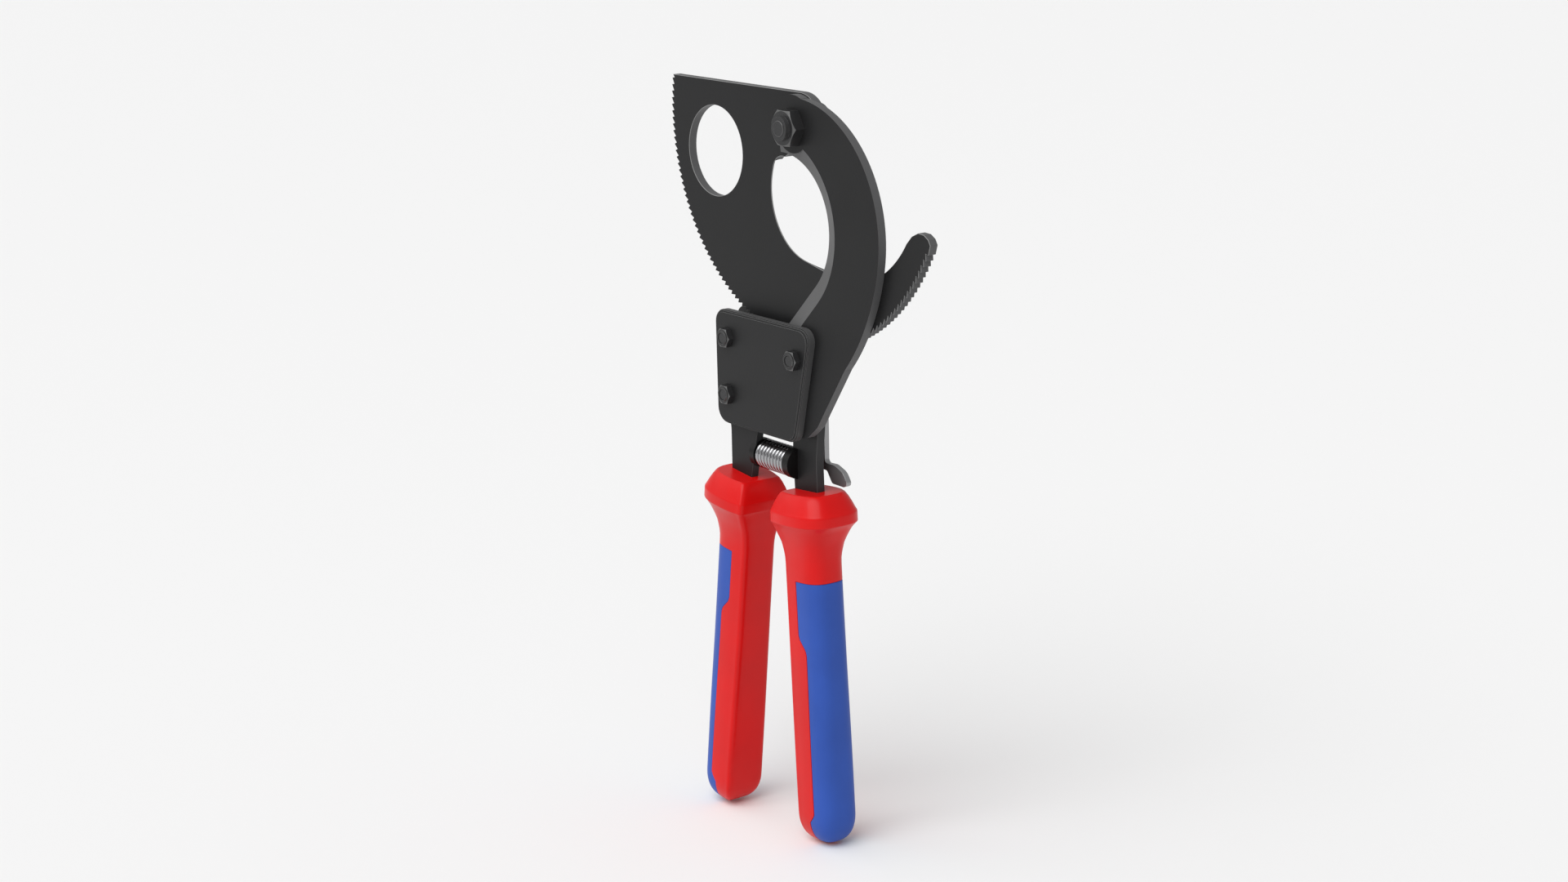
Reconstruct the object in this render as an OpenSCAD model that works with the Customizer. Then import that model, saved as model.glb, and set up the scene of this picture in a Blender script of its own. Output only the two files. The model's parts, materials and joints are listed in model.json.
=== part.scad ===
// Ratchet cable cutter with a swinging sickle blade, a fixed crescent blade,
// a bolted ratchet housing and two-component grips.
// Millimetres. +Z runs up the tool to the blades, +X to the right and the front faces -Y.
// The origin is on the blade pivot's axis, in the shear plane between the two blades.

/* [Blades] */
// Thickness of each blade
blade_t = 3.5; // [3:0.5:4]
// Radius over the tips of the ratchet teeth, about the pivot
tooth_r = 82.5; // [82.5:0.25:83]
// Depth of a ratchet tooth
tooth_depth = 1.5; // [1:0.1:1.8]
// Radius of the fixed blade's cutting edge
fixed_edge_r = 28; // [26:0.5:28]
// Radius of the moving blade's cutting edge
moving_edge_r = 25.2; // [24:0.2:25.6]
// Width of the bevel behind the fixed cutting edge
bevel_w = 7.2; // [4:0.2:7.6]
// Radius of the round hole in the moving blade
hole_r = 17.5; // [14:0.5:19]

/* [Housing] */
// Thickness of each cover plate
cover_t = 3.6; // [3:0.2:4.4]
// Corner radius of the cover plates
cover_corner = 5; // [3:0.5:7]
// Radius of the cover bolts
bolt_r = 2; // [1.6:0.1:2]

/* [Handles] */
// Outward lean of the drive handle, degrees
drive_lean = 6.4; // [5:0.2:7]
// Outward lean of the fixed handle, degrees
fixed_lean = 4.2; // [3:0.2:5]
// Thickness of the blue inlay in a grip
inlay_t = 2; // [1.4:0.2:2.4]
// Outer radius of the return spring
spring_r = 5.8; // [5:0.2:6]

/* [Hidden] */

$fn = 64;
eps = 0.05;
run_gap = 0.1;          // running gap on each face of the moving blade
fit = 0.05;             // radial clearance of a turning pin

// Layers from front to back, as Y levels
y_front = -blade_t - cover_t;
y_shear = 0;
y_back = blade_t + 2 * run_gap;
y_rear = y_back + cover_t;
y_lever = y_rear + 0.2;
lever_t = 2.2;

// Blade pivot
boss_r = 12.5;
fixed_boss_r = 12;
pad_r = 9.6;            // full-thickness pad under the pivot nut
pivot_r = 4;
bush_r = 6;

// Ratchet teeth: tail_a is the angle of the last tooth, at the tail's tip
tooth_pitch = 1.8;
tooth_n = 90;
tail_a = 334;

// Cutting edges, as centres in X and Z
fixed_edge_c = [-10.5, -38.5];
moving_edge_c = [7, -25];
land = 0.4;             // flat land at a cutting edge, before its bevel

hole_c = [-53.6, -14.5];

// Housing bolts: the drive lever turns on the first, the second stops it, the third passes the fixed blade
bolt_drive = [-38, -84.2];
bolt_stop = [-38, -106.5];
bolt_fixed = [4.1, -86.2];
bolt_points = [bolt_drive, bolt_stop, bolt_fixed];
nut_af = 7;
nut_h = 2.4;
sleeve_r = 2.8;
drive_bush_r = 4;

// Pawls: pin centre and tip
drive_pin = [-27, -98];
drive_tip = [-14.1, -81.9];
hold_pin = [-11.5, -97.5];
hold_tip = [-2.9, -83.05];
pawl_t = 2.5;
pin_r = 2;

// The release lever turns on the holding pawl's pin, and its stud pushes the pawl's tail
release_stud = [-11.5, -105.5];
stud_r = 1.3;

// Handles: the point in X and Z where each grip starts
drive_grip_top = [-32.2, -138];
fixed_grip_top = [2.7, -138];
y_drive = -blade_t / 2;
y_fixed = y_back / 2;
grip_l = 139;

// Return spring, along X
spring_y = 0.9;
spring_z = -128.8;
spring_x0 = -25;
spring_x1 = -6.9;
spring_wire = 1.2;

// Points of an arc in X and Z
function arc(c, r, a0, a1, n = 24) =
    [for (i = [0:n]) let (a = a0 + (a1 - a0) * i / n) [c[0] + r * cos(a), c[1] + r * sin(a)]];

function unit(v) = v / norm(v);

// Fillet points at corner p, which has radius p[2], between its neighbours a and b
function fillet(a, p, b, n = 6) =
    let (q = [p[0], p[1]],
         u = unit([a[0], a[1]] - q),
         v = unit([b[0], b[1]] - q),
         half = acos(u * v) / 2,
         c = q + unit(u + v) * p[2] / sin(half),
         s = q + u * p[2] / tan(half) - c,
         e = q + v * p[2] / tan(half) - c,
         a0 = atan2(s[1], s[0]),
         turn = ((atan2(e[1], e[0]) - a0 + 540) % 360) - 180)
    [for (i = [0:n]) c + p[2] * [cos(a0 + turn * i / n), sin(a0 + turn * i / n)]];

// Polygon points with rounded corners; each corner is [x, z, radius]
function rounded(pts) =
    [for (i = [0:len(pts) - 1])
        each (pts[i][2] > 0
            ? fillet(pts[(i + len(pts) - 1) % len(pts)], pts[i], pts[(i + 1) % len(pts)])
            : [[pts[i][0], pts[i][1]]])];

// Extrudes a shape drawn in X and Z from y0 to y1
module plate(y0, y1) {
    translate([0, y1, 0]) rotate([90, 0, 0]) linear_extrude(y1 - y0) children();
}

// Cylinder along Y at p, from y0 to y1
module rod(p, r, y0, y1, sides = 64) {
    translate([p[0], y1, p[1]]) rotate([90, 0, 0]) cylinder(h = y1 - y0, r = r, $fn = sides);
}

// Cone along Y at p, with radius r0 at y0 and r1 at y1
module cone(p, r0, r1, y0, y1) {
    translate([p[0], y1, p[1]]) rotate([90, 0, 0]) cylinder(h = y1 - y0, r1 = r1, r2 = r0);
}

module tube(p, r, bore, y0, y1) {
    difference() {
        rod(p, r, y0, y1);
        rod(p, bore, y0 - 1, y1 + 1);
    }
}

// Hexagon along Y with a flat at the top, measured across its flats
module hex(p, af, y0, y1) {
    rod(p, af / (2 * cos(30)), y0, y1, 6);
}

// ---- blades ----

fixed_top = 85.1;
outer_c = [0.8, -38.2];
outer_r = 49.2;
lower_c = [-29.5, -32.85];
lower_r = 80;
edge_end = -45;
fixed_left = -16.5;
// Where the straight run of the cutting edge starts and ends
edge_a = fixed_edge_c + fixed_edge_r * [cos(edge_end), sin(edge_end)];
edge_b = edge_a - [1, 1] * (edge_a[0] - fixed_left);

function fixed_outline() = concat(
    arc([0, 0], fixed_boss_r, 65, 215, 30),
    [[-11.2, -10.4]],
    arc(fixed_edge_c, fixed_edge_r, 91.4, edge_end, 48),
    [edge_b],
    rounded([[fixed_left, -116, 3], [7, -116.5, 6], [13.6, -110.8, 4], [30, -86.4, 0]]),
    arc(lower_c, lower_r, -42, -10, 14),
    arc(outer_c, outer_r, -10, fixed_top, 32));

// The bevel's cutter runs past both faces; its surface meets the edge at the land
module fixed_bevel() {
    front = -blade_t - eps;
    slope = bevel_w / (blade_t - land);
    rise = slope * (-land - front);
    fall = slope * (land + 0.2);
    cone(fixed_edge_c, fixed_edge_r + rise, fixed_edge_r - fall, front, 0.2);
    // Straight run below the arc, at 45 degrees
    translate([edge_b[0] - 6, 0, edge_b[1] - 6]) rotate([0, 45, 0])
        linear_extrude(norm(edge_a - edge_b) + 6 * sqrt(2))
        polygon([[-3, 0.2], [0.05 - fall, 0.2], [0.05 + rise, front], [-3, front]]);
}

module fixed_blade() {
    color("#3a3a3c") difference() {
        union() {
            difference() {
                plate(-blade_t, y_shear) polygon(fixed_outline());
                fixed_bevel();
            }
            difference() {
                rod([0, 0], pad_r, -blade_t, y_shear);
                rod(fixed_edge_c, fixed_edge_r + 0.4, -blade_t - 1, 1);
            }
        }
        rod([0, 0], pivot_r + fit, -blade_t - 1, 1);
        rod(bolt_fixed, bolt_r + fit, -blade_t - 1, 1);
        rod(hold_pin, pin_r, -blade_t - 1, 1);
        for (p = rivet_points) rod(p, rivet_r, -blade_t - 1, 1);
    }
}

// One tooth: a steep face towards the tail's far side, then a long back
function tooth_ring() = [for (i = [0:tooth_n - 1])
    let (a = tail_a - (tooth_n - i) * tooth_pitch)
    each [(tooth_r - tooth_depth) * [cos(a), sin(a)],
          tooth_r * [cos(a + 0.25), sin(a + 0.25)]]];

tail_c = [26.8, -13.5];
tail_r = 40.8;
shoulder_c = [-11, -18.2];
shoulder_r = 6.1;

function moving_outline() = concat(
    [[0, boss_r], [-sqrt(pow(tooth_r - 0.4, 2) - pow(boss_r, 2)), boss_r]],
    tooth_ring(),
    [[74.2, -34.6], [73, -32.6], [70.6, -31.2], [67.4, -31], [64, -32.6]],
    arc(tail_c, tail_r, -32.8, -109.3, 30),
    arc(moving_edge_c, moving_edge_r, 258, 163, 36),
    arc(shoulder_c, shoulder_r, 172, 76, 12),
    [[-6, -10.2]],
    arc([0, 0], boss_r, -50, 88, 40));

module moving_blade() {
    back = run_gap + blade_t;
    color("#3a3a3c") difference() {
        plate(run_gap, back) polygon(moving_outline());
        intersection() {
            cone(moving_edge_c, moving_edge_r - 1.2, moving_edge_r + 5.3, run_gap - 0.3, back + eps);
            translate([-40, -1, -90]) cube([54, 20, 76]);
        }
        rod([0, 0], bush_r + fit, -1, 10);
        rod(hole_c, hole_r, -1, 10);
    }
}

// ---- blade pivot ----

pivot_nut_af = 13;
pivot_nut_h = 4.8;
stud_end_r = 3;
washer_t = 1.5;

module pivot_bolt() {
    head = y_back + washer_t;
    color("#434345") {
        rod([0, 0], pivot_r, -blade_t, head);
        rod([0, 0], stud_end_r, -blade_t - pivot_nut_h - 1.9, head);
        cone([0, 0], 8.2, 6.6, head + 4, head + 4.8);
        rod([0, 0], 8.2, head, head + 4);
    }
}

module pivot_bush() {
    color("#8a8a86") tube([0, 0], bush_r, pivot_r + 0.02, 0, y_back);
}

module pivot_washer() {
    color("#77777a") tube([0, 0], 10, pivot_r + 0.02, y_back, y_back + washer_t);
}

module pivot_nut() {
    front = -blade_t - pivot_nut_h;
    color("#38383a") difference() {
        union() {
            intersection() {
                hex([0, 0], pivot_nut_af, front, -blade_t);
                cone([0, 0], 6.3, 9.6, front, front + 2.2);
            }
            hex([0, 0], pivot_nut_af, front + 1.6, -blade_t);
            cone([0, 0], 4.4, 5, front - 1.6, front + 1);
        }
        rod([0, 0], stud_end_r + 0.02, front - 3, 1);
    }
}

// ---- housing ----

// Front cover's outline, pulled in by d all round
module front_cover_shape(d) {
    polygon(rounded([[-46.3 + d, -73.8 - d, cover_corner - d / 2],
                     [13.8 - d * 1.2, -73.8 - d, cover_corner - d / 2],
                     [4 - d * 0.85, -118.5 + d, cover_corner - d / 2],
                     [-45.4 + d, -118.5 + d, cover_corner + 1 - d / 2]]));
}

// The back cover's lower right corner is cut away beside the fixed tang
module back_cover_shape() {
    polygon(rounded([[-46.3, -73.8, cover_corner], [13.8, -73.8, cover_corner], [9.8, -95, 3],
                     [2.6, -107.5, 3], [2.6, -118.5, 3], [-45.4, -118.5, cover_corner + 1]]));
}

module bolt_holes(y0, y1) {
    for (p = bolt_points) rod(p, bolt_r + fit, y0, y1);
}

module front_cover() {
    color("#363638") difference() {
        union() {
            plate(y_front + 1, -blade_t) front_cover_shape(0);
            // The front edge is stepped in twice, as a softened corner
            plate(y_front + 0.4, -blade_t) front_cover_shape(0.35);
            plate(y_front, -blade_t) front_cover_shape(1);
        }
        bolt_holes(y_front - 1, 1);
    }
}

module back_cover() {
    color("#363638") difference() {
        plate(y_back, y_rear) back_cover_shape();
        bolt_holes(y_back - 1, y_rear + 1);
        rod(hold_pin, pin_r, y_back - 1, y_rear + 1);
        for (p = rivet_points) rod(p, rivet_r, y_back - 1, y_rear + 1);
        // Slot for the release lever's stud
        plate(y_back - 1, y_rear + 1) hull() {
            translate(release_stud) circle(stud_r + 0.35, $fn = 32);
            translate(release_stud + [-0.7, 0]) circle(stud_r + 0.35, $fn = 32);
        }
    }
}

module cover_bolts() {
    color("#434345") for (p = bolt_points) {
        rod(p, bolt_r, y_front - nut_h - 0.3, y_rear);
        rod(p, 3.8, y_rear, y_rear + 2.2);
        cone(p, 3.8, 2.8, y_rear + 2.2, y_rear + 3);
    }
}

module cover_nuts() {
    color("#38383a") for (p = bolt_points) difference() {
        union() {
            intersection() {
                hex(p, nut_af, y_front - nut_h, y_front);
                cone(p, 3.4, 5.2, y_front - nut_h, y_front - nut_h + 1.2);
            }
            hex(p, nut_af, y_front - nut_h + 0.9, y_front);
            cone(p, 2.55, 2.9, y_front - nut_h - 0.5, y_front - nut_h + 0.5);
        }
        rod(p, bolt_r + 0.02, y_front - nut_h - 1, y_front + 1);
    }
}

// Sleeves that hold the covers apart: full depth at the stop bolt, behind the fixed blade at the other
module cover_spacers() {
    color("#8a8a86") {
        tube(bolt_stop, sleeve_r, bolt_r + fit, -blade_t, y_back);
        tube(bolt_fixed, sleeve_r, bolt_r + fit, 0, y_back);
    }
}

module lever_bush() {
    color("#8a8a86") tube(bolt_drive, drive_bush_r, bolt_r + fit, -blade_t, y_back);
}

// ---- fixed handle ----

rivet_points = [[4.2, -97], [-1.4, -109.5]];
rivet_r = 2.2;

// Places children, drawn down from the origin, along a leaning handle
module along(top, lean, y) {
    translate([top[0], y, top[1]]) rotate([0, lean, 0]) children();
}

module fixed_tang() {
    color("#333335") difference() {
        plate(0, y_back) fixed_tang_shape();
        for (p = rivet_points) rod(p, rivet_r, -1, y_back + 1);
    }
}

module fixed_tang_shape() {
    polygon(rounded([[-3, -92.2, 2], [10.5, -92.2, 2], [9.2, -113, 10], [8, -126, 20],
                     [8.6, -138, 10], [13.6, -214, 4], [4.6, -214, 4], [-5.4, -139, 10],
                     [-6.4, -126, 20], [-6.2, -110, 4], [-3, -104, 4]]));
}

module tang_rivets() {
    color("#4c4c4e") for (p = rivet_points) rod(p, rivet_r, -blade_t, y_rear);
}

// ---- grips ----

// Stations of a grip: distance down it, inner half width, outer half width, half depth, inner flat half depth
grip_stations = [
    [0, 9, 13.2, 10.2, 8.5],
    [-7.5, 12, 17.6, 13.6, 11.6],
    [-11.5, 12, 17.6, 13.6, 11.6],
    [-15.5, 11.2, 14.2, 11.6, 10],
    [-20.5, 10.4, 11.2, 9.3, 8.1],
    [-27.5, 10, 10, 8.2, 7.3],
    [-60, 10, 9.9, 8.3, 7.5],
    [-100, 9.7, 9.7, 8.8, 8],
    [-127, 9.4, 9.4, 9, 8.4],
    [-133, 8.7, 8.7, 8.5, 7.6],
    [-137, 7, 7, 7, 6],
    [-grip_l, 4.6, 4.6, 4.8, 4]];

// One ring of the grip at a station, with the surface pulled in by d: flat inside, a full oval outside
function grip_ring(s, d) = concat(
    [[s[1] - d, -s[4] + d, s[0]], [s[1] - d, s[4] - d, s[0]]],
    [for (b = [0:15:180])
        [-(s[2] - d) * pow(sin(b), 0.7), (s[3] - d) * sign(cos(b)) * pow(abs(cos(b)), 0.7), s[0]]]);

// Solid through a stack of rings that all have the same number of points
module loft(rings) {
    n = len(rings[0]);
    last = (len(rings) - 1) * n;
    points = [for (ring = rings) each ring];
    sides = [for (k = [0:len(rings) - 2], i = [0:n - 1])
        let (j = (i + 1) % n, a = k * n, b = a + n)
        each [[a + i, a + j, b + j], [a + i, b + j, b + i]]];
    caps = [[for (i = [n - 1:-1:0]) i], [for (i = [0:n - 1]) last + i]];
    polyhedron(points, concat(caps, sides), convexity = 4);
}

module grip_body() {
    loft([for (s = grip_stations) grip_ring(s, 0)]);
}

// Grip's surface pulled in by the inlay's thickness
module grip_core() {
    loft([for (s = grip_stations) if (s[0] > -136) grip_ring(s, inlay_t)]);
}

// Outer side of a grip that the blue inlay covers: wide from top down to step, then narrower,
// and wide again at the end
module inlay_zone(top, step) {
    plate(-30, 30) polygon([
        [2.7, -top], [2.7, -step], [-1.8, -step - 7.5], [-1.8, -127],
        [1, -130], [1, -150], [-40, -150], [-40, -top]]);
}

module inlay_space(top, step) {
    difference() {
        inlay_zone(top, step);
        grip_core();
    }
}

module grip_red(flip, top, step) {
    mirror([flip, 0, 0]) difference() {
        grip_body();
        inlay_space(top, step);
    }
}

module grip_blue(flip, top, step) {
    mirror([flip, 0, 0]) intersection() {
        grip_body();
        inlay_space(top, step);
    }
}

module fixed_grip() {
    color("#d81e1e") difference() {
        along(fixed_grip_top, -fixed_lean, y_fixed) grip_red(1, 34.5, 55.5);
        plate(0, y_back) fixed_tang_shape();
    }
}

module fixed_grip_inlay() {
    color("#3a5cb8") along(fixed_grip_top, -fixed_lean, y_fixed) grip_blue(1, 34.5, 55.5);
}

module drive_grip() {
    color("#d81e1e") difference() {
        along(drive_grip_top, drive_lean, y_drive) grip_red(0, 30, 49.5);
        plate(-blade_t + run_gap, -run_gap) drive_lever_shape();
    }
}

module drive_grip_inlay() {
    color("#3a5cb8") along(drive_grip_top, drive_lean, y_drive) grip_blue(0, 30, 49.5);
}

// ---- drive handle ----

drive_stroke = 8;

module drive_lever_shape() {
    polygon(rounded([[-45.4, -75.6, 8], [-27.6, -75.6, 8], [-21.6, -90, 6], [-21.4, -104, 6],
                     [-24.2, -119, 8], [-27, -131, 14], [-28.6, -139, 10], [-37.4, -213, 4],
                     [-46.4, -213, 4], [-41.2, -139, 10], [-41.4, -120, 20], [-45.4, -107, 10]]));
}

module drive_lever() {
    color("#333335") difference() {
        plate(-blade_t + run_gap, -run_gap) drive_lever_shape();
        rod(bolt_drive, drive_bush_r + fit, -blade_t - 1, 1);
        rod(drive_pin, pin_r, -blade_t - 1, 1);
        // Slot that stops the handle against the lower bolt's sleeve
        plate(-blade_t - 1, 1) hull() for (a = [0, -drive_stroke - 0.4])
            translate(bolt_drive) rotate(a) translate(bolt_stop - bolt_drive)
                circle(sleeve_r + 0.25, $fn = 32);
    }
}

module drive_pawl_pin() {
    color("#6c6c6e") rod(drive_pin, pin_r, -blade_t + run_gap, y_back - run_gap);
}

// Pawl from a pin to a tip: round hub, tapering arm and a blunt nose
module pawl(pin, tip, hub) {
    l = norm(tip - pin);
    a = atan2(tip[1] - pin[1], tip[0] - pin[0]);
    difference() {
        union() {
            rod(pin, hub, run_gap, run_gap + pawl_t);
            plate(run_gap, run_gap + pawl_t) translate(pin) rotate(a)
                polygon([[-0.5, hub - 0.3], [l * 0.5, hub * 0.75], [l, 0.2], [l - 0.8, -1.2],
                         [l * 0.5, -hub * 0.7], [-0.5, 0.3 - hub]]);
            children();
        }
        rod(pin, pin_r + fit, -1, 10);
    }
}

module drive_pawl() {
    color("#565658") pawl(drive_pin, drive_tip, 4.4);
}

// Hairpin spring beside a pawl: a coil on the pin with two straight legs
module pawl_spring(pin, a0, a1) {
    y0 = run_gap + pawl_t + 0.1;
    difference() {
        union() {
            rod(pin, pin_r + 0.9, y0, y0 + 0.8);
            for (a = [a0, a1]) translate([pin[0], y0 + 0.4, pin[1]]) rotate([0, -a, 0])
                translate([pin_r, -0.3, pin_r - 0.1]) cube([7, 0.6, 0.6]);
        }
        rod(pin, pin_r + 0.02, y0 - 1, y0 + 2);
    }
}

module drive_pawl_spring() {
    color("#b0b0b4") pawl_spring(drive_pin, 60, 150);
}

// ---- holding pawl and release lever ----

module holding_pawl() {
    color("#565658") pawl(hold_pin, hold_tip, 4)
        plate(run_gap, run_gap + pawl_t) translate(hold_pin)
            polygon([[-3.9, 0], [-0.8, -3], [-1.9, -9], [-5, -9]]);
}

module holding_pawl_pin() {
    head = y_lever + lever_t + 0.2;
    color("#6c6c6e") {
        rod(hold_pin, pin_r, -blade_t, head);
        rod(hold_pin, 3.6, head, head + 0.8);
        cone(hold_pin, 3.6, 2.6, head + 0.8, head + 1.4);
    }
}

module holding_pawl_spring() {
    color("#b0b0b4") pawl_spring(hold_pin, 70, 160);
}

module release_lever() {
    y1 = y_lever + lever_t;
    color("#c4c4c8") {
        difference() {
            union() {
                rod(hold_pin, 5, y_lever, y1);
                plate(y_lever, y1) polygon(rounded([
                    [-10.4, -92.9, 0], [-3, -96.5, 6], [3.2, -105, 6], [3.6, -112, 10],
                    [3.8, -128.2, 1.6], [9.2, -127.9, 5], [14.6, -129.8, 5], [17.8, -134.2, 1.5],
                    [15.2, -135.4, 1.4], [8.2, -135.3, 1.6], [5, -130.9, 1], [-2.6, -130.4, 2],
                    [-3.6, -114, 12], [-13, -107.5, 4], [-16.1, -98, 0]]));
            }
            rod(hold_pin, pin_r + fit, y_lever - 1, y1 + 1);
        }
        // Stud that reaches through the back cover to the holding pawl's tail
        rod(release_stud, stud_r, 1, y_lever + eps);
    }
}

// ---- return spring ----

// Cylinder along X on the spring's axis
module spring_rod(r, x0, x1) {
    translate([x0, spring_y, spring_z]) rotate([0, 90, 0]) cylinder(h = x1 - x0, r = r);
}

module return_spring() {
    color("#cfcfd2") difference() {
        spring_rod(spring_r, spring_x0, spring_x1);
        spring_rod(spring_r - spring_wire, spring_x0 - 1, spring_x1 + 1);
    }
}

// Seat on the fixed tang's edge, with a pilot inside the spring
module fixed_spring_seat() {
    color("#2c2c2e") {
        difference() {
            spring_rod(spring_r + 0.2, spring_x1, spring_x1 + 3.5);
            plate(0, y_back) fixed_tang_shape();
        }
        spring_rod(2.6, spring_x1 - 3.6, spring_x1 + 0.4);
    }
}

module drive_spring_seat() {
    color("#2c2c2e") {
        difference() {
            spring_rod(spring_r, spring_x0 - 3, spring_x0);
            plate(-blade_t + run_gap, -run_gap) drive_lever_shape();
        }
        spring_rod(2.6, spring_x0 - 0.4, spring_x0 + 3.4);
    }
}

fixed_blade();
moving_blade();
pivot_bolt();
pivot_bush();
pivot_washer();
pivot_nut();
front_cover();
back_cover();
cover_bolts();
cover_nuts();
cover_spacers();
lever_bush();
fixed_tang();
tang_rivets();
fixed_grip();
fixed_grip_inlay();
drive_lever();
drive_grip();
drive_grip_inlay();
drive_pawl();
drive_pawl_pin();
drive_pawl_spring();
holding_pawl();
holding_pawl_pin();
holding_pawl_spring();
release_lever();
return_spring();
fixed_spring_seat();
drive_spring_seat();
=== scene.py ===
# Ratchet cable cutter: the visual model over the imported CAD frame, with a plain pale floor and soft light.
# Metres. Positions come from the CAD nodes and the record; new pieces are built in millimetres and scaled
# by MM.
import json
import math
import bmesh
import bpy
from mathutils import Matrix, Vector


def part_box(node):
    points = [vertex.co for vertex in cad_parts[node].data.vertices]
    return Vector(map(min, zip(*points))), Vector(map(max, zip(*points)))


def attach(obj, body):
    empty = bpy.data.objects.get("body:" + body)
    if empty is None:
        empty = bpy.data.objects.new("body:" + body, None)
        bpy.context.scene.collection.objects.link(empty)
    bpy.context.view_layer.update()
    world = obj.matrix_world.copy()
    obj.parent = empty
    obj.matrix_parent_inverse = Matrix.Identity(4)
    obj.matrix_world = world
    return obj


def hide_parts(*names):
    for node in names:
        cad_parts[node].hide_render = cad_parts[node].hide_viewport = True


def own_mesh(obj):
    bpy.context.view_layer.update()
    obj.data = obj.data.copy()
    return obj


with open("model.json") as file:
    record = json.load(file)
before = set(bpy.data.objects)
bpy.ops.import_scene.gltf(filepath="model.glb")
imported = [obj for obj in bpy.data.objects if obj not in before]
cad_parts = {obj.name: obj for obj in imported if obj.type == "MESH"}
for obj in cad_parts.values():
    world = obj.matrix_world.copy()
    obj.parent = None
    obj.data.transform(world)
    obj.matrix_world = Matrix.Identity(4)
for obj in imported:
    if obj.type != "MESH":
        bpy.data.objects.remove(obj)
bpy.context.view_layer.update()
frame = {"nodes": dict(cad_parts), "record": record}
MM = 0.001
nodes = frame["nodes"]


# ---------------------------------------------------------------- materials

# Bands of the normal's Y share in which each of by_facing's colours fades out: the ground bevels' lighter
# colour, the painted highlight on the creases, and the painted light on the sideways rims
SLOPE_BAND = (0.955, 0.975)
CREASE_HIGHLIGHT_BAND = (0.86, 0.90)
RIM_LIGHT_BAND = (0.25, 0.35)
# Scale of the broad noise that breaks up colour and roughness, and depth of the fine bump
BLOTCH_SCALE = 45
BUMP_DEPTH = 0.4 * MM
COAT_ROUGHNESS = 0.12


def noise(tree, vector, scale, detail):
    node = tree.nodes.new("ShaderNodeTexNoise")
    node.inputs["Scale"].default_value = scale
    node.inputs["Detail"].default_value = detail
    tree.links.new(vector, node.inputs["Vector"])
    return node.outputs["Fac"]


def map_range(tree, value, from_min, from_max, to_min, to_max):
    node = tree.nodes.new("ShaderNodeMapRange")
    node.inputs["From Min"].default_value = from_min
    node.inputs["From Max"].default_value = from_max
    node.inputs["To Min"].default_value = to_min
    node.inputs["To Max"].default_value = to_max
    tree.links.new(value, node.inputs["Value"])
    return node.outputs["Result"]


def material(name, color, rough, metal=0.0, coat=0.0, rough_var=0.06, bump=0.02, grain=900.0, tint=0.12,
             spec=0.5):
    """A procedural material: base colour broken up by noise, varied roughness and a fine bump."""
    mat = bpy.data.materials.new(name)
    mat.use_nodes = True
    tree = mat.node_tree
    link = tree.links.new
    shader = tree.nodes["Principled BSDF"]
    shader.inputs["Metallic"].default_value = metal
    shader.inputs["Coat Weight"].default_value = coat
    shader.inputs["Coat Roughness"].default_value = COAT_ROUGHNESS
    shader.inputs["Specular IOR Level"].default_value = spec
    place = tree.nodes.new("ShaderNodeTexCoord").outputs["Object"]
    broad = noise(tree, place, BLOTCH_SCALE, 4)
    fine = noise(tree, place, grain, 3)

    ramp = tree.nodes.new("ShaderNodeValToRGB")
    dark, light = ramp.color_ramp.elements
    dark.color = [c * (1 - tint) for c in color] + [1]
    dark.position = 0.35
    light.color = [min(1, c * (1 + tint)) for c in color] + [1]
    light.position = 0.65
    link(broad, ramp.inputs["Fac"])
    link(ramp.outputs["Color"], shader.inputs["Base Color"])

    roughness = map_range(tree, broad, 0.3, 0.7, max(0.02, rough - rough_var), rough + rough_var)
    link(roughness, shader.inputs["Roughness"])

    relief = tree.nodes.new("ShaderNodeBump")
    relief.inputs["Strength"].default_value = bump
    relief.inputs["Distance"].default_value = BUMP_DEPTH
    link(fine, relief.inputs["Height"])
    link(relief.outputs["Normal"], shader.inputs["Normal"])
    return mat


def by_facing(mat, rim_light, crease, slope=None):
    """Adds painted light by facing: a lighter colour on faces that look sideways from the tool's Y axis,
    standing in for light on the rims, a painted highlight on the soft creases around them, and a lighter
    colour on ground bevels, whose normals lie just off the Y axis."""
    tree = mat.node_tree
    link = tree.links.new
    target = tree.nodes["Principled BSDF"].inputs["Base Color"]
    base = target.links[0].from_socket
    axes = tree.nodes.new("ShaderNodeSeparateXYZ")
    link(tree.nodes.new("ShaderNodeTexCoord").outputs["Normal"], axes.inputs[0])
    y_share = tree.nodes.new("ShaderNodeMath")
    y_share.operation = "ABSOLUTE"
    link(axes.outputs["Y"], y_share.inputs[0])
    # The rim colour is painted light on the sideways faces and the crease colour is a painted highlight, both
    # mixed over the base colour
    for color, band in ((slope, SLOPE_BAND), (crease, CREASE_HIGHLIGHT_BAND), (rim_light, RIM_LIGHT_BAND)):
        if color is None:
            continue
        mix = tree.nodes.new("ShaderNodeMix")
        mix.data_type = "RGBA"
        mix.inputs["B"].default_value = (*color, 1)
        link(map_range(tree, y_share.outputs[0], *band, 1, 0), mix.inputs["Factor"])
        link(base, mix.inputs["A"])
        base = mix.outputs["Result"]
    link(base, target)
    return mat


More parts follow.
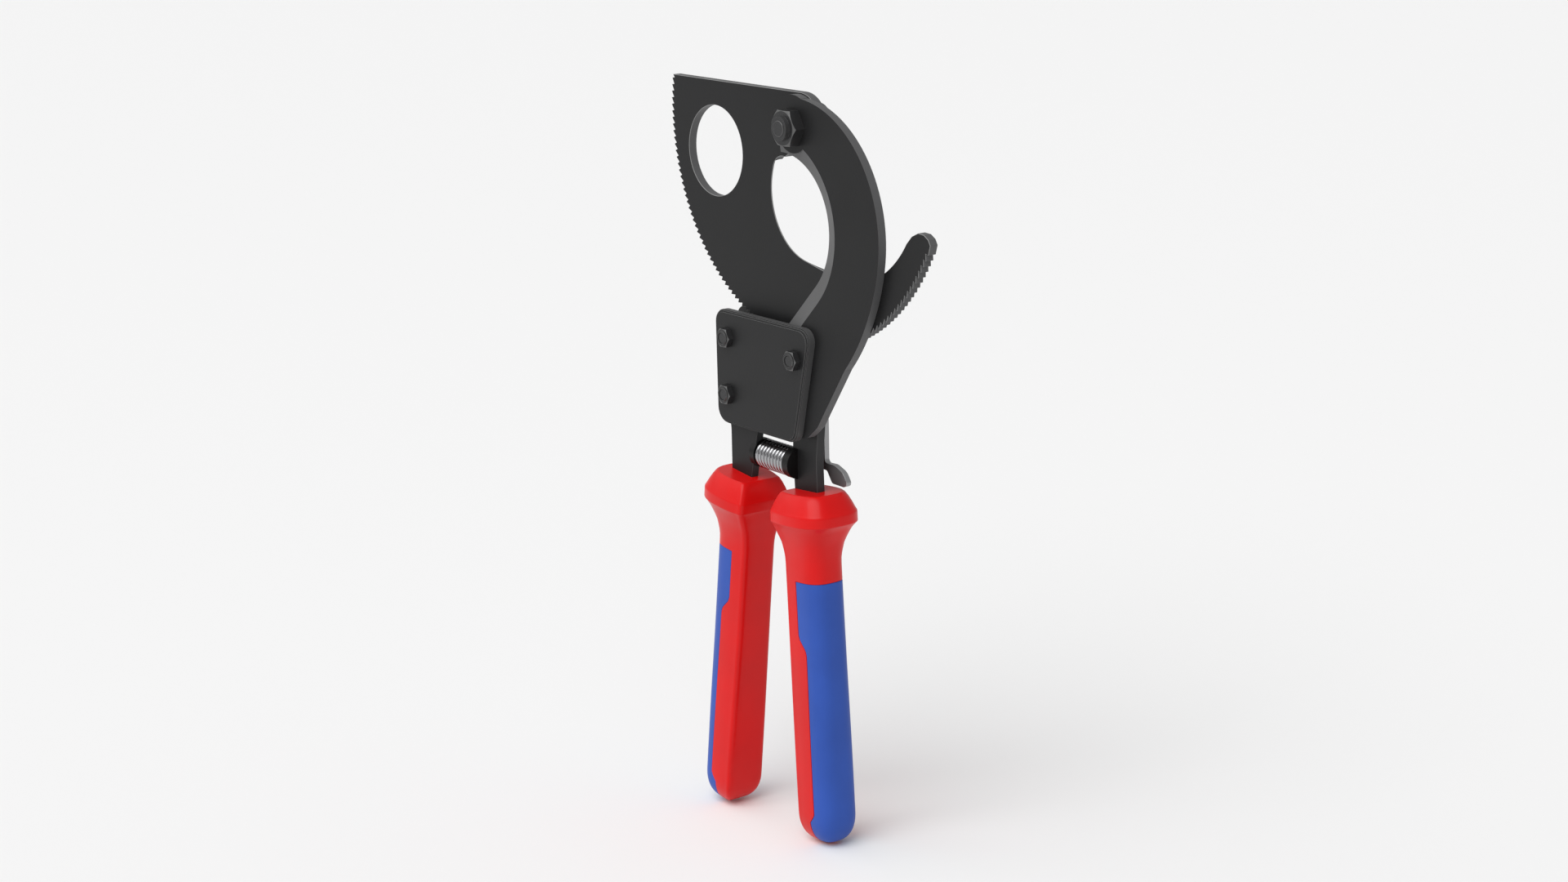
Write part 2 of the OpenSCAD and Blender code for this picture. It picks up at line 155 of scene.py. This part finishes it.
# In each by_facing call the first colour is painted light on the sideways rims and the second is a painted
# highlight on the creases. BLADE's third colour is its ground bevels' lighter colour, and LEVER's crease
# colour is a strong painted highlight.
BLADE = by_facing(
    material("blade_satin_and_painted_edge_light", (0.0125, 0.0125, 0.013), 0.46, bump=0.06, grain=1600, tint=0.15, spec=0.2),
    (0.100, 0.100, 0.102), (0.26, 0.26, 0.26), (0.105, 0.105, 0.106))
COVER = by_facing(
    material("cover_satin_and_painted_edge_light", (0.013, 0.013, 0.0135), 0.42, bump=0.06, grain=1600, tint=0.15, spec=0.22),
    (0.080, 0.080, 0.081), (0.15, 0.15, 0.15))
TANG = by_facing(
    material("tang_satin_and_painted_edge_light", (0.012, 0.012, 0.0125), 0.42, bump=0.06, grain=1600, tint=0.15, spec=0.2),
    (0.036, 0.036, 0.037), (0.060, 0.060, 0.061))
DARK = by_facing(
    material("burnished_and_painted_edge_light", (0.022, 0.022, 0.023), 0.30, metal=0.3, bump=0.10, grain=2200, spec=0.5),
    (0.034, 0.034, 0.035), (0.10, 0.10, 0.10))
BARE = material("turned_steel", (0.50, 0.50, 0.51), 0.28, metal=1.0, bump=0.08, grain=2500)
SPRING = material("spring_wire", (0.40, 0.40, 0.41), 0.18, metal=1.0, bump=0.03, grain=2500, tint=0.05,
                  rough_var=0.05)
LEVER = by_facing(
    material("lever_plate_and_painted_edge_light", (0.26, 0.26, 0.265), 0.30, metal=0.7, bump=0.03, grain=2500, tint=0.05,
             rough_var=0.05),
    (0.34, 0.34, 0.345), (0.85, 0.85, 0.86))
SEAT = material("blackened", (0.008, 0.008, 0.008), 0.40, metal=0.3, bump=0.08, grain=2000, spec=0.3)
RED = material("grip_red", (0.66, 0.003, 0.003), 0.34, coat=0.06, bump=0.03, grain=1800, tint=0.05,
               rough_var=0.05, spec=0.22)
BLUE = material("grip_blue", (0.030, 0.088, 0.41), 0.42, bump=0.06, grain=2600, tint=0.06, spec=0.2)

BY_SLOT = {"blade_black": BLADE, "cover_black": COVER, "fastener_dark": DARK, "steel_bare": BARE,
           "spring_bright": SPRING, "lever_bright": LEVER, "seat_dark": SEAT, "grip_red": RED,
           "grip_blue": BLUE}
slot_of = {s["node"]: s["material_slot"] for s in frame["record"]["subparts"]}
body_of = {n: b for b, ns in frame["record"]["behaviour"]["bodies"].items() for n in ns}


def bevel(o, width, segments, angle):
    m = o.modifiers.new("bevel", "BEVEL")
    m.width = width * MM
    m.segments = segments
    m.limit_method = "ANGLE"
    m.angle_limit = math.radians(angle)
    m.harden_normals = False


def finish_of(node):
    """The material of a node: its slot's, or for the two tangs a darker copy of the blade's satin, with
    fainter painted light on its rims and a fainter painted crease highlight.
    """
    return TANG if node in ("fixed_tang", "drive_lever") else BY_SLOT[slot_of[node]]


for name, o in nodes.items():
    o.data.materials.clear()
    o.data.materials.append(finish_of(name))


# ---------------------------------------------------------------- building new pieces

def piece(name, bm, mat, node, angle):
    """A new mesh piece from bm, in millimetres, that replaces its node and rides with the node's body; its
    shading is sharp where faces meet above angle."""
    bmesh.ops.recalc_face_normals(bm, faces=bm.faces)
    bm.transform(Matrix.Scale(MM, 4))
    me = bpy.data.meshes.new(name)
    bm.to_mesh(me)
    bm.free()
    o = bpy.data.objects.new(name, me)
    bpy.context.scene.collection.objects.link(o)
    me.materials.append(mat)
    for face in me.polygons:
        face.use_smooth = True
    me.set_sharp_from_angle(angle=math.radians(angle))
    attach(o, body_of[node])
    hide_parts(node)
    return o


def loft(bm, rings):
    """Closed skin through a stack of rings that all have the same number of points."""
    rows = [[bm.verts.new(p) for p in ring] for ring in rings]
    n = len(rows[0])
    for a, b in zip(rows, rows[1:]):
        for j in range(n):
            k = (j + 1) % n
            bm.faces.new((a[j], a[k], b[k], b[j]))
    bm.faces.new(rows[0][::-1])
    bm.faces.new(rows[-1])


# Turns at each end of the spring that lie closed, and how far they advance, in wire diameters
END_TURNS = 0.8
END_ADVANCE = 0.357


def coil(name, node, turns, wire, steps=26, sides=10):
    """A spring wound along X with closed ends, in its node's box; wire is the wire's radius."""
    low_end, high_end = (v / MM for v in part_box(node))
    mid = (low_end + high_end) / 2
    radius = (high_end.z - low_end.z) / 2 - wire
    start = low_end.x + wire
    length = high_end.x - wire - start
    end_run = END_ADVANCE * 2 * wire
    total = int(turns * steps)

    def at(i):
        turn = i / steps
        if turn < END_TURNS:
            run = end_run * turn / END_TURNS
        elif turn > turns - END_TURNS:
            run = length - end_run * (turns - turn) / END_TURNS
        else:
            run = end_run + (length - 2 * end_run) * (turn - END_TURNS) / (turns - 2 * END_TURNS)
        angle = 2 * math.pi * turn
        return Vector((start + run, mid.y + radius * math.sin(angle), mid.z + radius * math.cos(angle)))

    bm = bmesh.new()
    rings = []
    for i in range(total + 1):
        centre = at(i)
        along = (at(i + 0.5) - at(i - 0.5)).normalized()
        out = Vector((0, centre.y - mid.y, centre.z - mid.z)).normalized()
        side = along.cross(out)
        thick = wire * (0.75 if i in (0, total) else 1)
        angles = [2 * math.pi * j / sides for j in range(sides)]
        rings.append([centre + thick * (out * math.cos(a) + side * math.sin(a)) for a in angles])
    loft(bm, rings)
    return piece(name, bm, SPRING, node, 60)


spring = coil("return_spring_wire", "return_spring", 9.6, 0.8)
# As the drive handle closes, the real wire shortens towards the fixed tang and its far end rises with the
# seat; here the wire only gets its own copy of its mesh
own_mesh(spring)


# Vertices closer than this are merged, and faces within this angle of flat are joined, before a bevel
MERGE = 0.002
FLAT_WITHIN = 0.6


def soften(node, width, segments=3, angle=30, crease=30):
    """Replaces a metal node by its own shape with bevelled edges; crease is the angle above which shading
    stays sharp. The cover nuts are left as they are, because a bevel makes their small chamfers look
    lobed."""
    bm = bmesh.new()
    bm.from_mesh(nodes[node].data)
    bm.transform(Matrix.Scale(1 / MM, 4))
    bmesh.ops.remove_doubles(bm, verts=bm.verts, dist=MERGE)
    bmesh.ops.dissolve_degenerate(bm, edges=bm.edges, dist=MERGE)
    bmesh.ops.dissolve_limit(bm, angle_limit=math.radians(FLAT_WITHIN), verts=bm.verts, edges=bm.edges)
    o = piece(node + "_soft", bm, finish_of(node), node, crease)
    bevel(o, width, segments, angle)
    normals = o.modifiers.new("normals", "WEIGHTED_NORMAL")
    normals.keep_sharp = True
    normals.weight = 80


soften("fixed_blade", 0.42, 2, 30, 12)
soften("moving_blade", 0.28, 2, 30, 12)
soften("front_cover", 0.45, 3, 20)
soften("back_cover", 0.5, 3)
soften("fixed_tang", 0.35, 3)
soften("drive_lever", 0.35, 3)
soften("release_lever", 0.45, 3)
soften("pivot_nut", 0.25, 2)
soften("cover_bolts", 0.18, 2)
soften("pivot_bolt", 0.25, 2)


# ---------------------------------------------------------------- grips

# Distance down the grip, inner half width, outer half width, half depth, half depth of the inner flat
STATIONS = [(0, 8.3, 12.4, 9.5, 7.9), (0.5, 9.0, 13.2, 10.2, 8.5), (6.9, 11.75, 17.2, 13.3, 11.35),
            (7.7, 12.0, 17.6, 13.6, 11.6), (11.3, 12.0, 17.6, 13.6, 11.6), (12.0, 11.75, 16.9, 13.2, 11.3),
            (13.6, 11.4, 15.2, 12.2, 10.6), (16.5, 11.0, 13.3, 10.8, 9.5), (20.5, 10.4, 11.3, 9.3, 8.1),
            (27.5, 10.0, 10.0, 8.2, 7.3), (60, 10.0, 9.9, 8.3, 7.5), (100, 9.7, 9.7, 8.8, 8.0),
            (127, 9.4, 9.4, 9.0, 8.3), (139, 9.4, 9.4, 9.0, 8.3)]
# The end is rounded from ROUND_FROM down, and would close to a point at TIP; the last ring is at GRIP_END
ROUND_FROM = 126.5
GRIP_END = 138.9
TIP = 139.2
END_POWER = 2.5
# Powers of the outer side's oval: of its outline, and of its points' spacing
OVAL_POWER = 2.86
OVAL_SPACING = 0.7
# Largest radius of the edge between the inner flat and the sides
EDGE_R = 2.0
# Inlay: depth of its seat in the red grip, depth of its underside, and gap to the red around it
SEAT_DEPTH = 1.2
INLAY_DEPTH = 1.1
INLAY_GAP = 0.14


def curve(points, u):
    """Monotone cubic through points (u, value)."""
    if u <= points[0][0]:
        return points[0][1]
    if u >= points[-1][0]:
        return points[-1][1]
    rises = [(vb - va) / (b - a) for (a, va), (b, vb) in zip(points, points[1:])]
    slopes = [0 if r * q <= 0 else 2 * r * q / (r + q) for r, q in zip(rises, rises[1:])]
    slopes = [rises[0]] + slopes + [rises[-1]]
    i = max(k for k in range(len(points) - 1) if points[k][0] <= u)
    (a, va), (b, vb) = points[i], points[i + 1]
    h = b - a
    t = (u - a) / h
    return ((2 * t ** 3 - 3 * t ** 2 + 1) * va + (t ** 3 - 2 * t ** 2 + t) * h * slopes[i]
            + (3 * t ** 2 - 2 * t ** 3) * vb + (t ** 3 - t ** 2) * h * slopes[i + 1])


def straight(points, u):
    """Straight lines through points (u, value)."""
    for (a, va), (b, vb) in zip(points, points[1:]):
        if u <= b:
            return va + (vb - va) * max(0, u - a) / (b - a)
    return points[-1][1]


def section(u, border, sink=0.0, shift=0.0):
    """Half of the grip's outline at u, as two lists of points (x, y): the inner side from its middle to the
    border line, and the outer side from there. x grows inward. sink pulls the surface in, and shift moves
    the border line outward."""
    closing = 1.0
    if u > ROUND_FROM:
        closing = max(0.0, 1 - ((u - ROUND_FROM) / (TIP - ROUND_FROM)) ** END_POWER) ** (1 / END_POWER)
    inward, outward, depth, flat = (
        curve([(s[0], s[j]) for s in STATIONS], u) * closing - sink for j in (1, 2, 3, 4))
    x_border = straight(border, u) * closing - shift
    edge = min(EDGE_R, 0.3 * inward)

    def y_at(x):
        if x >= 0:
            return depth - (depth - flat) * (x / inward) ** 2
        return depth * max(0, 1 - (-x / outward) ** OVAL_POWER) ** (1 / OVAL_POWER)

    # The flat, the rounded edge as a quadratic curve through three control points, and the side
    y_edge = y_at(inward - edge)
    controls = ((inward, flat - edge), (inward, y_edge + 0.15 * edge), (inward - edge, y_edge))
    inner = [(inward, (flat - edge) * i / 4) for i in range(4)]
    inner += [tuple((1 - t) ** 2 * a + 2 * t * (1 - t) * b + t * t * c for a, b, c in zip(*controls))
              for t in (i / 5 for i in range(6))]
    inner += [(x, y_at(x)) for x in (inward - edge + (x_border - inward + edge) * i / 5 for i in range(1, 6))]

    start = math.asin(max(-1, min(1, -x_border / outward)))
    outer = []
    for i in range(17):
        sine = math.sin(start + (math.pi / 2 - start) * i / 16)
        x = -outward * math.copysign(abs(sine) ** (OVAL_SPACING if sine > 0 else 1), sine)
        outer.append((x, y_at(x)))
    outer[0] = (x_border, y_at(x_border))
    outer[-1] = (-outward, 0)
    return inner, outer


def both_sides(half):
    """Closes a half outline over the grip's middle plane, keeping its end points on that plane single."""
    return half + [(x, -y) for x, y in reversed(half[:-1])]


def middle(low_corner, high_corner):
    return (Vector(low_corner) + Vector(high_corner)) / 2


def grip(node, inlay, side, lean, top, step):
    """The red grip and its blue inlay; side is 1 where the inner face looks to +X, and lean is the grip's
    angle. The inlay starts at top and narrows below step, as distances down the grip."""
    border = [(top, 2.7), (step, 2.7), (step + 2, 2.0), (step + 5.5, -1.1), (step + 7.5, -1.8), (127, -1.8),
              (130, 1.0), (139, 1.0)]
    # Rings lie close together where the collar, the inlay's step and the end turn, and wide apart between
    collar_rings = [0, 0.15, 0.5, 2, 4, 6, 6.5, 6.9, 7.15, 7.4, 7.7, 8.5, 10, 11, 11.3, 11.55, 11.8, 12.0,
                    12.5, 13.2, 14, 15, 16.5, 18, 20, 22, 24, 26, 28, top]
    inlay_rings = sorted({top + 0.01, *(top + i * 3 for i in range(1, 6)), *(step + i for i in range(-1, 10)),
                          *range(65, 126, 6), 126.5, 128, 129, 130, 131.5, 133, 134.5, 135.7, 136.7, 137.4,
                          138, 138.4, 138.7, GRIP_END})

    def place(points, u):
        return [Vector((side * x, y, -u)) for x, y in points]

    red_rings = []
    for u in collar_rings:
        inner, outer = section(u, border)
        red_rings.append(place(both_sides(inner + outer)[:-1], u))
    for u in inlay_rings:
        inner, _ = section(u, border)
        _, outer = section(u, border, sink=SEAT_DEPTH)
        red_rings.append(place(both_sides(inner + outer)[:-1], u))
    red = bmesh.new()
    loft(red, red_rings)
    bmesh.ops.remove_doubles(red, verts=red.verts, dist=0.0005)

    blue_rings = []
    for u in [top + INLAY_GAP] + [u for u in inlay_rings if top + 0.2 < u < 138.6]:
        _, outer = section(u, border, shift=INLAY_GAP)
        _, under = section(u, border, sink=INLAY_DEPTH, shift=INLAY_GAP)
        blue_rings.append(place(both_sides(outer) + both_sides(under)[::-1], u))
    blue = bmesh.new()
    loft(blue, blue_rings)

    # Leaned, then centred on the box of the two CAD nodes
    boxes = [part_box(n) for n in (node, inlay)]
    cad_middle = middle([min(b[0][i] for b in boxes) / MM for i in range(3)],
                        [max(b[1][i] for b in boxes) / MM for i in range(3)])
    for bm in (red, blue):
        bm.transform(Matrix.Rotation(math.radians(lean), 4, "Y"))
    own_middle = middle([min(v.co[i] for v in red.verts) for i in range(3)],
                        [max(v.co[i] for v in red.verts) for i in range(3)])
    for bm in (red, blue):
        bm.transform(Matrix.Translation(cad_middle - own_middle))
    shell = piece(node + "_shell", red, RED, node, 28)
    inlay_shell = piece(inlay + "_shell", blue, BLUE, inlay, 40)
    bevel(inlay_shell, 0.3, 3, 50)
    bevel(shell, 0.12, 2, 50)


grip("fixed_grip", "fixed_grip_inlay", -1, -4.2, 34.5, 55.5)
grip("drive_grip", "drive_grip_inlay", 1, 6.4, 30, 49.5)

# ---------------------------------------------------------------- camera, floor and light

FLOOR_SPAN = 6
FLOOR_DROP = 0.0005
FLOOR_GREY = 0.88
WORLD_STRENGTH = 0.46
CAMERA_AT = (0.78816, -0.60178, 0.13007)
CAMERA_LENS = 62.12
# Direction from the tool to the camera, in degrees round from -Y and above the level, and the camera's roll
AZIMUTH, ELEVATION, ROLL = (math.radians(a) for a in (53.05, 14.1, -0.66))

scene = bpy.context.scene
back = Vector((math.sin(AZIMUTH) * math.cos(ELEVATION), -math.cos(AZIMUTH) * math.cos(ELEVATION),
               math.sin(ELEVATION)))
level_right = Vector((math.cos(AZIMUTH), math.sin(AZIMUTH), 0))
level_up = back.cross(level_right)
right = level_right * math.cos(ROLL) + level_up * math.sin(ROLL)
up = level_up * math.cos(ROLL) - level_right * math.sin(ROLL)
cam_data = bpy.data.cameras.new("camera")
cam_data.lens = CAMERA_LENS
cam_data.sensor_width = 36
cam_data.clip_start = 0.01
cam = bpy.data.objects.new("camera", cam_data)
cam.matrix_world = Matrix((right, up, back)).transposed().to_4x4()
cam.location = CAMERA_AT
scene.collection.objects.link(cam)
scene.camera = cam


def floor_plane(z, span):
    me = bpy.data.meshes.new("floor")
    corners = [(-span, -span, z), (span, -span, z), (span, span, z), (-span, span, z)]
    me.from_pydata(corners, [], [(0, 1, 2, 3)])
    o = bpy.data.objects.new("floor", me)
    scene.collection.objects.link(o)
    m = bpy.data.materials.new("floor_pale")
    m.use_nodes = True
    shader = m.node_tree.nodes["Principled BSDF"]
    shader.inputs["Base Color"].default_value = (FLOOR_GREY, FLOOR_GREY, FLOOR_GREY, 1)
    shader.inputs["Roughness"].default_value = 0.8
    me.materials.append(m)


lowest = min(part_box(n)[0].z for n in nodes)
floor_plane(lowest - FLOOR_DROP, FLOOR_SPAN)

world = bpy.data.worlds.new("studio")
scene.world = world
world.use_nodes = True
sky = world.node_tree.nodes["Background"]
sky.inputs["Color"].default_value = (1, 1, 1, 1)
sky.inputs["Strength"].default_value = WORLD_STRENGTH


def sun(name, toward, strength, angle):
    """A wide soft sun; toward is the direction from the object to the light."""
    d = bpy.data.lights.new(name, "SUN")
    d.energy = strength
    d.angle = math.radians(angle)
    o = bpy.data.objects.new(name, d)
    o.rotation_euler = Vector(toward).to_track_quat("Z", "Y").to_euler()
    scene.collection.objects.link(o)


sun("key", (0.25, -0.75, 1.0), 1.7, 50)
sun("fill", (-0.7, -0.6, 1.0), 0.75, 70)

scene.view_settings.view_transform = "Standard"
scene.view_settings.look = "None"
scene.view_settings.exposure = 0.0
